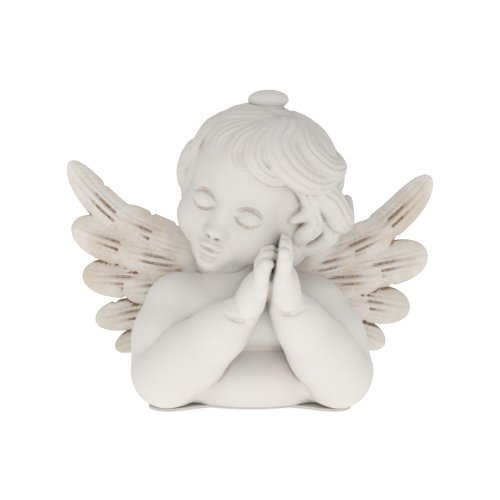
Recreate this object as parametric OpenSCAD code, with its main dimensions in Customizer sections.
// Praying cherub bust with spread wings: a figurine of cast stone resin.
// The castings are a torso with its upper arms, a head, two forearms with their hands and two wings.
// Steel dowels, a neck spigot and glue hold them together, and a felt sheet covers the underside.
// Frame: X to the right seen from the front, Y to the back, Z up, origin on the table under the middle.
// Millimetres throughout.

/* [Torso] */
// Width over the two upper arms
torso_w = 94; // [86:1:112]
// Depth of the chest, front to back
torso_d = 40; // [33:1:48]
// Height from the table to the top of the shoulders
torso_h = 54; // [49:1:64]
// Radius of the upper arms
arm_r = 15; // [13:0.5:17]

/* [Head] */
// Width of the head at the temples, without the hair
head_w = 50; // [44:1:58]
// Depth of the head from the nose to the back, without the hair
head_d = 56; // [48:1:64]
// Height of the head from the chin to the crown, without the hair
head_h = 62; // [56:1:70]
// Sideways tilt of the head, crown towards +X
head_roll = 20; // [0:1:24]
// Turn of the head, face towards -X
head_yaw = 20; // [0:1:28]
// Thickness of the hair over the skull
hair_t = 3; // [2:0.25:4]
// Width of the curl on the crown
crown_curl_w = 16; // [12:0.5:20]
// Diameter of the neck spigot
neck_d = 20; // [16:0.5:22]
// Depth of the socket that takes the neck spigot
neck_seat = 8; // [6:0.5:12]

/* [Forearms and hands] */
// Radius of the forearm near the elbow
forearm_r = 13; // [11:0.5:14]
// Radius of the wrist
wrist_r = 6.5; // [5:0.25:8]
// Length of a hand from the wrist to the longest fingertip
hand_l = 28; // [24:0.5:32]
// Width of a palm over its four fingers
palm_w = 19; // [17:0.5:22]
// Radius of a finger
finger_r = 3.1; // [2.7:0.1:3.5]

/* [Wings] */
// Span from wing tip to wing tip
wing_span = 150; // [132:1:180]
// Width of the largest flight feather
feather_w = 17; // [14:0.5:20]
// Thickness of a feather
feather_t = 2.4; // [2:0.1:3.2]
// How far each layer of feathers stands in front of the layer behind it
layer_step = 2.2; // [1.6:0.1:2.8]

/* [Joints and base] */
// Diameter of the steel dowels
dowel_d = 3; // [2:0.5:4]
// Length of a wing dowel
wing_dowel_l = 16; // [12:1:20]
// Length of an elbow dowel
elbow_dowel_l = 12; // [9:1:14]
// Gap left for glue between two castings
glue_gap = 0.15; // [0.1:0.05:0.3]
// Radial clearance of a dowel in its hole
dowel_clearance = 0.05; // [0.05:0.05:0.15]
// Thickness of the felt under the base
felt_t = 1.2; // [0.8:0.1:2]
// How far the edge of the felt stays inside the base
felt_inset = 3; // [2:0.5:5]

/* [Hidden] */

resin = [0.87, 0.85, 0.82];
patina = [0.80, 0.70, 0.60];
steel = [0.62, 0.63, 0.65];
felt = [0.80, 0.77, 0.73];

// How closely a ray has to meet a skin, and how many steps it may take.
SKIN_TOLERANCE = 0.01;
SKIN_STEPS = 40;

// ---------- Soft forms: balls and limbs that flow into each other ----------

// Two distances joined with a fillet of about the size k.
function blend(d, e, k) = let (h = max(k - abs(d - e), 0) / k) min(d, e) - h * h * k / 4;

// Distance to an egg [centre, radii, fillet].
function ball_distance(p, b) = let (
        q = p - b[0],
        r = b[1],
        n = [q.x / r.x, q.y / r.y, q.z / r.z],
        g = norm([n.x / r.x, n.y / r.y, n.z / r.z])
    ) g == 0 ? -min(r) : norm(n) * (norm(n) - 1) / g;

// Distance to a limb [start, end, start radius, end radius, fillet].
function limb_distance(p, l) = let (
        along = l[1] - l[0],
        t = min(1, max(0, (p - l[0]) * along / (along * along)))
    ) norm(p - l[0] - t * along) - l[2] - t * (l[3] - l[2]);

function balls_at(p, balls, i = 0, d = 1000) =
    i == len(balls) ? d : balls_at(p, balls, i + 1, blend(d, ball_distance(p, balls[i]), balls[i][2]));
function limbs_at(p, limbs, i = 0, d = 1000) =
    i == len(limbs) ? d : limbs_at(p, limbs, i + 1, blend(d, limb_distance(p, limbs[i]), limbs[i][4]));
function form_at(p, balls, limbs) = limbs_at(p, limbs, 0, balls_at(p, balls));

// How far from the centre a ray leaves the form, walking in from the outside.
function skin_radius(centre, ray, balls, limbs, grow, r, steps = SKIN_STEPS) =
    let (d = form_at(centre + r * ray, balls, limbs) - grow)
    (steps == 0 || d < SKIN_TOLERANCE) ? r
        : skin_radius(centre, ray, balls, limbs, grow, r - 0.85 * d, steps - 1);

// A closed skin round a form: rings from the bottom pole to the top, with more sides towards the front.
module skin(centre, balls, limbs, reach, rings, sides, grow = 0, crowd = 0) {
    function ray(i, j) = let (
            el = -90 + 180 * i / rings,
            turn = 360 * j / sides,
            az = turn - crowd * sin(turn)
        ) [sin(az) * cos(el), -cos(az) * cos(el), sin(el)];
    function vertex(i, j) =
        centre + skin_radius(centre, ray(i, j), balls, limbs, grow, reach) * ray(i, j);
    points = [vertex(0, 0), for (i = [1:rings - 1], j = [0:sides - 1]) vertex(i, j), vertex(rings, 0)];
    last = len(points) - 1;
    function at(i, j) = 1 + (i - 1) * sides + j % sides;
    polyhedron(points, [
        for (j = [0:sides - 1]) [0, at(1, j), at(1, j + 1)],
        for (i = [1:rings - 2], j = [0:sides - 1]) each
            [[at(i, j), at(i + 1, j), at(i + 1, j + 1)], [at(i, j), at(i + 1, j + 1), at(i, j + 1)]],
        for (j = [0:sides - 1]) [last, at(rings - 1, j + 1), at(rings - 1, j)]
    ]);
}

// A closed skin through a list of rings that all have the same number of points, turning either way.
module loft(rings) {
    n = len(rings[0]);
    m = len(rings);
    first = rings[0];
    turn = cross(first[1] - first[0], first[2] - first[1]) * (rings[1][0] - first[0]);
    points = [for (ring = rings) each turn > 0 ? ring : [for (j = [n - 1:-1:0]) ring[j]]];
    polyhedron(points, [
        [for (j = [0:n - 1]) j],
        for (i = [0:m - 2], j = [0:n - 1]) let (a = i * n + j, b = i * n + (j + 1) % n)
            each [[a, a + n, b + n], [a, b + n, b]],
        [for (j = [n - 1:-1:0]) (m - 1) * n + j]
    ]);
}

// One casting: what is inside is joined into a single skin.
module casting() {
    resize([0, 0, 0]) children();
}

// ---------- Landmarks ----------

shoulder_x = torso_w / 2 - arm_r - 2;
elbow_x = torso_w / 2 - arm_r;
shoulder_z = torso_h - arm_r;
function shoulder(side) = [side * shoulder_x, 3, shoulder_z];
elbow_z = arm_r - 3.5;
function elbow(side) = [side * elbow_x, -9, elbow_z];

head_centre = [0, -1, torso_h + head_h / 2 + 1];
skull_centre = head_centre + turned([0, 0.10 * head_d / 2, 0.22 * head_h / 2]);
hair_r = head_w / 2 + hair_t;

// A point or direction of the upright head, turned as the head is.
function turned(p) = let (
        x = p.x * cos(head_roll) + p.z * sin(head_roll),
        z = p.z * cos(head_roll) - p.x * sin(head_roll)
    ) [x * cos(head_yaw) + p.y * sin(head_yaw), p.y * cos(head_yaw) - x * sin(head_yaw), z];

// ---------- Torso ----------

torso_balls = let (w = torso_w, d = torso_d, h = torso_h) [
    [[0, 3, h - 23], [w * 0.31, d / 2, 21], 8],
    [[0, 2, 11], [w * 0.31, d / 2 + 1, 18], 3],
    [[0, 6, 6], [w * 0.38, d / 2, 16], 8],
    for (side = [-1, 1]) [[side * w * 0.17, d / 2 - 6, h - 20], [w * 0.13, 9, 15], 8]
];
torso_limbs = [
    for (side = [-1, 1]) [shoulder(side), elbow(side), arm_r - 1, arm_r, 5],
    [[0, 4, torso_h - 16], [0, 3, torso_h - 4], neck_d / 2 + 5, neck_d / 2 + 3, 10]
];

module torso_form(grow = 0) {
    skin([0, 2, torso_h / 2], torso_balls, torso_limbs, torso_w, 28, 44, grow);
}

module below_base() {
    translate([-torso_w, -torso_w, -torso_h]) cube([2 * torso_w, 2 * torso_w, torso_h + felt_t]);
}

module neck_cylinder(r, z_low, z_high) {
    translate([0, 3, z_low]) cylinder(r = r, h = z_high - z_low, $fn = 64);
}

module torso_casting() {
    color(resin) difference() {
        casting() difference() {
            torso_form();
            head_form(glue_gap);
            for (side = [-1, 1]) forearm_form(side, glue_gap);
        }
        below_base();
        neck_cylinder(neck_d / 2 + glue_gap, torso_h - neck_seat, torso_h + head_h);
        for (side = [-1, 1]) {
            wing_dowel_set(side, dowel_d / 2 + dowel_clearance, wing_dowel_l + glue_gap);
            elbow_dowel(side, dowel_d / 2 + dowel_clearance, elbow_dowel_l + glue_gap);
        }
    }
}

// ---------- Head ----------

// Proportions of a small child's head, as shares of its half width, half depth and half height.
head_balls = let (k = [head_w / 2, head_d / 2, head_h / 2]) [
    for (b = [
        [[0, 0.10, 0.22], [1.00, 0.88, 0.78], 5],
        [[0, -0.22, -0.24], [0.80, 0.68, 0.66], 6],
        [[0, -0.60, -0.80], [0.26, 0.22, 0.18], 6],
        [[0.44, -0.52, -0.42], [0.36, 0.31, 0.30], 5],
        [[-0.44, -0.52, -0.42], [0.36, 0.31, 0.30], 5],
        [[0, -0.38, 0.26], [0.72, 0.52, 0.46], 6],
        [[0, -0.80, -0.57], [0.24, 0.14, 0.13], 4],
        [[0, -0.30, -0.78], [0.50, 0.36, 0.20], 6]
    ]) [turned([b[0].x * k.x, b[0].y * k.y, b[0].z * k.z]),
        [b[1].x * k.x, b[1].y * k.y, b[1].z * k.z], b[2]]
];
nose = [turned([0, -0.84 * head_d / 2, -0.10 * head_h / 2]),
    turned([0, -0.99 * head_d / 2, -0.37 * head_h / 2]), 2.2, 3.2, 3];

// Locks of hair as [width, points], each point as [right, up, lift] from the middle of the skull.
front_locks = [
    [9, [[-6, 25, -1], [-17, 19, 0], [-24, 9, 0], [-25, -4, 0]]],
    [8, [[-24, 0, 0], [-25, -10, 0], [-23, -22, 0]]],
    [8, [[-5, 24, -1], [-11, 17, 0], [-14, 9, 0]]],
    [8, [[-1, 25, -1], [-5, 16, 1], [-5, 8, 0]]],
    [9, [[2, 25, -1], [2, 15, 2], [7, 7, 2], [16, 3, 2], [24, 3, 1]]],
    [10, [[7, 25, -1], [16, 18, 2], [20, 10, 3], [25, 5, 2]]],
    [9, [[12, 0, 0], [20, -4, 2], [25, -12, 3]]],
    [8, [[9, 1, 0], [14, -11, 0], [14, -22, 0]]],
    [9, [[16, -11, 2], [22, -20, 2], [19, -29, 1]]],
    [8, [[20, -9, 2], [26, -17, 3], [25, -26, 2]]]
];
// Rows of locks round the back, each as [upper end, lower end, count, width].
back_rows = [[22, 4, 7, 13], [8, -10, 8, 12], [-6, -22, 8, 11]];

// A point on the hair, reached from the front, with the skull and jaw taken as one egg.
function draped(q) = let (
        share = 1 - pow(q.x / (hair_r + 2), 2) - pow((q.y + 4) / (hair_r + 8), 2)
    ) skull_centre + [q.x, -hair_r * sqrt(max(0.02, share)) - q.z + 1, q.y];

// A point round the back, at an angle from the middle of the back.
function behind(angle, z) = let (r = sqrt(max(100, hair_r * hair_r - z * z * 0.75)) - 1)
    skull_centre + [r * sin(angle), r * cos(angle), z];

// A point on a smooth curve through four points, between the two in the middle.
function curve(a, b, c, d, t) =
    b + 0.5 * t * (c - a + t * (2 * a - 5 * b + 4 * c - d + t * (3 * (b - c) + d - a)));

function smoothed(points, cuts) = let (last = len(points) - 1) [
    for (i = [0:last - 1], k = [0:cuts - 1])
        curve(points[max(i - 1, 0)], points[i], points[i + 1], points[min(i + 2, last)], k / cuts),
    points[last]
];

// A lock of hair: flat against the head, thick in the middle and narrow at its end.
module lock(points, width, grow) {
    line = smoothed(points, 2);
    last = len(line) - 1;
    loft([for (i = [0:last]) let (fill = 0.35 + 0.65 * sin(180 * min(0.97, 0.12 + 0.85 * i / last)))
        ring(line[i], line[min(i + 1, last)] - line[max(i - 1, 0)], width / 2 * fill + grow, 8, 0.72,
            line[i] - skull_centre)]);
}

hair_cap = [skull_centre + [1, 4, 2], [hair_r, head_d * 0.44 + hair_t, head_h * 0.38 + hair_t], 1];
face_balls = [for (b = head_balls) [b[0] + head_centre, b[1], b[2]]];
face_limbs = [[nose[0] + head_centre, nose[1] + head_centre, nose[2], nose[3], nose[4]]];

module head_form(grow = 0) {
    skin(head_centre, concat(face_balls, [hair_cap]), face_limbs, head_h, 28, 44, grow, 22);
    for (l = front_locks) lock([for (q = l[1]) draped(q)], l[0], grow);
    for (row = back_rows, i = [0:row[2] - 1]) let (angle = -100 + 200 * i / (row[2] - 1))
        lock([behind(angle, row[0]), behind(angle + 6, (row[0] + row[1]) / 2), behind(angle + 3, row[1])],
            row[3], grow);
}

module head_casting() {
    color(resin) difference() {
        union() {
            casting() difference() {
                head_form();
                crown_form(glue_gap);
            }
            neck_cylinder(neck_d / 2, torso_h - neck_seat + glue_gap, head_centre.z);
        }
        crown_pin(dowel_d / 2 + dowel_clearance, glue_gap);
    }
}

crown_top = skull_centre + [4, 2, hair_r - 1];

module crown_form(grow = 0) {
    skin(crown_top, [[crown_top, [crown_curl_w / 2, crown_curl_w * 0.4, crown_curl_w * 0.3], 1]], [],
        crown_curl_w, 12, 20, grow);
}

module crown_pin(r, extra = 0) {
    translate(crown_top - [0, 0, crown_curl_w * 0.3 + 5 + extra])
        cylinder(r = r, h = crown_curl_w * 0.3 + 6 + 2 * extra, $fn = 32);
}

module crown_curl() {
    color(resin) difference() {
        crown_form();
        crown_pin(dowel_d / 2 + dowel_clearance, glue_gap);
    }
}

// ---------- Forearms and hands ----------

function forearm_start(side) = elbow(side) + [-side * 2, -6, 2];
function wrist(side) = [side < 0 ? -3 : 14, -25, side < 0 ? torso_h - 13 : torso_h - 9];
function hand_way(side) = side < 0 ? [0.36, -0.06, 0.93] : [-0.10, -0.04, 0.99];

// A round or flattened section across a limb; "thick" is the way it is flattened along.
function ring(centre, way, r, sides, flat = 1, thick = [0, 1, 0]) = let (
        side = cross(way, thick) / norm(cross(way, thick)),
        up = cross(side, way) / norm(cross(side, way))
    ) [for (j = [0:sides - 1]) centre + r * (cos(360 * j / sides) * side + flat * sin(360 * j / sides) * up)];

module limb(points, radii, sides, flat = 1) {
    last = len(points) - 1;
    loft([for (i = [0:last])
        ring(points[i], points[min(i + 1, last)] - points[max(i - 1, 0)], radii[i], sides, flat)]);
}

module forearm_form(side, grow = 0) {
    a = forearm_start(side);
    b = wrist(side);
    bulge = [0, -2, 3];
    way = (b - a) / norm(b - a);
    r = forearm_r;
    dome = [for (t = [80, 60, 30, 0]) [-0.85 * sin(t), cos(t)]];
    limb(concat([for (d = dome) a + d.x * r * way],
            [a + 0.3 * (b - a) + 0.4 * bulge, a + 0.6 * (b - a) + bulge, b - 2 * way, b + 4 * way]),
        [for (f = concat([for (d = dome) d.y * r],
            [r * 0.96, (r + wrist_r) / 2 + 0.5, wrist_r + 0.6, wrist_r]))
            f + grow], 24);
}

finger_lengths = [0.88, 0.98, 1.00, 0.92];

module hand_form(side) {
    w = wrist(side);
    way = hand_way(side);
    palm = w + 0.36 * hand_l * way;
    pitch = (palm_w - 2 * finger_r) / 3;
    fingers = [for (i = [0:3]) let (aside = [0, (i - 1.5) * pitch, 0]) [
        w + 0.5 * hand_l * way + aside,
        w + (hand_l * finger_lengths[i] - 0.75 * finger_r) * way + aside,
        finger_r, finger_r * 0.75, 1
    ]];
    thumb_way = way + [0, 0.45, 0];
    thumb_start = w + 4 * way + [0, palm_w * 0.35, 0];
    thumb = [thumb_start, thumb_start + 0.35 * hand_l * thumb_way, finger_r * 1.15, finger_r * 0.8, 1.5];
    skin(palm, [[palm, [6, palm_w / 2, hand_l * 0.3], 3]],
        concat([[w - 2 * way, palm, wrist_r, 6, 3], thumb], fingers), 2 * hand_l, 22, 34);
}

module forearm_and_hand(side) {
    color(resin) difference() {
        casting() difference() {
            union() {
                forearm_form(side);
                hand_form(side);
            }
            head_form(glue_gap);
            palm_side(side);
        }
        below_base();
        elbow_dowel(side, dowel_d / 2 + dowel_clearance, elbow_dowel_l + glue_gap);
    }
}

// Everything past the plane where the two palms meet.
module palm_side(side) {
    lean = 12;
    meet_x = (wrist(-1).x + wrist(1).x) / 2 + 0.1;
    translate([meet_x, 0, wrist(1).z]) rotate([0, lean, 0])
        translate([side < 0 ? glue_gap : -torso_w - glue_gap, -torso_w, -torso_w])
            cube([torso_w, 2 * torso_w, 2 * torso_w]);
}

// The dowel runs from the forearm back into the upper arm.
module elbow_dowel(side, r, length) {
    translate(forearm_start(side) + [0, 12, 0]) rotate([90, 0, 0])
        cylinder(r = r, h = length, center = true, $fn = 32);
}

// ---------- Wings ----------

// A feather is [root, tip, width, sag, layer]: root and tip as [out, up] on the wing's plane.
wing_root_x = 14;
wing_y = torso_d / 2 - 2;
left_feathers = [
    [[16, 62], [74, 92], 0.95, -7, 0],
    [[14, 57], [73, 67], 1.05, -4, 0.5],
    [[14, 50], [68, 48], 1.00, -2, 0],
    [[14, 42], [63, 28], 0.75, 0, -0.5],
    [[14, 35], [54, 17], 0.60, 2, -1],
    [[14, 64], [54, 68], 1.10, -3, 1.6],
    [[14, 58], [43, 56], 0.80, -1, 2.8],
    [[14, 52], [51, 45], 0.90, 0, 2.0],
    [[14, 44], [47, 33], 0.75, 0, 1.2]
];
right_feathers = [
    [[18, 56], [74, 86], 1.05, 8, 0],
    [[16, 52], [73, 53], 1.10, 3, 0.5],
    [[14, 46], [65, 33], 0.95, 0, 0],
    [[14, 38], [53, 20], 0.75, 0, -0.5],
    [[18, 58], [58, 64], 1.10, 2, 1.6],
    [[16, 54], [43, 53], 0.80, 0, 2.8],
    [[14, 50], [51, 44], 0.90, 0, 2.0],
    [[14, 42], [43, 31], 0.75, 0, 1.4]
];

// Half the width of a feather along its length, from the root to the round tip.
function vane(t) = (0.45 + 0.55 * sin(90 * min(1, t * 1.6)))
    * sqrt(max(0.02, 1 - pow(max(0, t - 0.72) / 0.28, 2.4)));
reach_scale = (wing_span / 2 - wing_root_x) / (75 - wing_root_x);

module feather(side, f, grow = 0) {
    stations = 9;
    out = [side * reach_scale, 1];
    root = [side * (wing_root_x + (f[0].x - wing_root_x) * reach_scale), f[0].y];
    tip = [side * (wing_root_x + (f[1].x - wing_root_x) * reach_scale), f[1].y];
    way = (tip - root) / norm(tip - root);
    across = [-way.y, way.x];
    y0 = wing_y + 5 - layer_step * f[4];
    half = feather_w / 2 * f[2];
    loft([for (i = [0:stations]) let (
            t = 1 - pow(1 - i / stations, 1.6),
            mid = root + t * (tip - root) + across * side * f[3] * 4 * t * (1 - t) * 0.5,
            w = half * vane(t),
            y = y0 + 6 * t * t,
            th = feather_t / 2 * (1.8 - 1.15 * t)
        ) [for (s = [[-1, 0.1], [-0.6, -0.8], [0, -1.2], [0.6, -0.8],
                [1, 0.1], [0.6, 1], [0, 1.2], [-0.6, 1]])
            let (q = mid + across * side * w * s.x)
            [q.x, y + th * s.y + 1.5 * s.x * s.x, q.y]]]);
}

module wing_arm(side) {
    limb([[side * 15, wing_y + 4, shoulder_z - 14], [side * 16, wing_y + 4, shoulder_z - 3],
        [side * 20, wing_y, torso_h - 3], [side * 27, wing_y, torso_h + 9],
        [side * 34, wing_y + 4, torso_h + 14]], [5, 7.5, 6.5, 5, 3], 16);
}

// The thick part of the wing, which backs the roots of the feathers.
module wing_muscle(side) {
    middle = [side * 27, wing_y + 4, torso_h - 4];
    skin(middle, [[middle, [19, 4.5, 19], 1]], [], 30, 12, 20);
}

module wing(side, feathers) {
    color(patina) difference() {
        casting() difference() {
            union() {
                wing_arm(side);
                wing_muscle(side);
                for (f = feathers) feather(side, f);
            }
            torso_form(glue_gap);
            head_form(glue_gap);
        }
        wing_dowel_set(side, dowel_d / 2 + dowel_clearance, wing_dowel_l + glue_gap);
    }
}

// Two dowels run from the back of each shoulder into the root of the wing.
module wing_dowel_set(side, r, length) {
    for (z = [shoulder_z - 9, shoulder_z + 2])
        translate([side * 16, wing_y - 2, z]) rotate([90, 0, 0])
            cylinder(r = r, h = length, center = true, $fn = 32);
}

// ---------- Base ----------

// Radius of an elbow where the castings stand on the felt.
elbow_foot_r = sqrt(arm_r * arm_r - pow(elbow_z - felt_t, 2));

module base_outline() {
    offset(delta = -felt_inset) {
        translate([0, 3]) scale([torso_w * 0.33, torso_d / 2 - 1]) circle(r = 1, $fn = 48);
        for (side = [-1, 1]) hull() {
            translate([elbow(side).x, elbow(side).y]) circle(r = elbow_foot_r, $fn = 32);
            translate([side * 10, 2]) circle(r = 12, $fn = 32);
        }
    }
}

module base_felt() {
    color(felt) linear_extrude(felt_t) base_outline();
}

torso_casting();
head_casting();
crown_curl();
forearm_and_hand(-1);  // left_forearm_and_hand
forearm_and_hand(1);  // right_forearm_and_hand
wing(-1, left_feathers);  // left_wing
wing(1, right_feathers);  // right_wing
color(steel) wing_dowel_set(-1, dowel_d / 2, wing_dowel_l);  // left_wing_dowels
color(steel) wing_dowel_set(1, dowel_d / 2, wing_dowel_l);  // right_wing_dowels
color(steel) elbow_dowel(-1, dowel_d / 2, elbow_dowel_l);  // left_elbow_dowel
color(steel) elbow_dowel(1, dowel_d / 2, elbow_dowel_l);  // right_elbow_dowel
color(steel) crown_pin(dowel_d / 2);  // crown_dowel
base_felt();
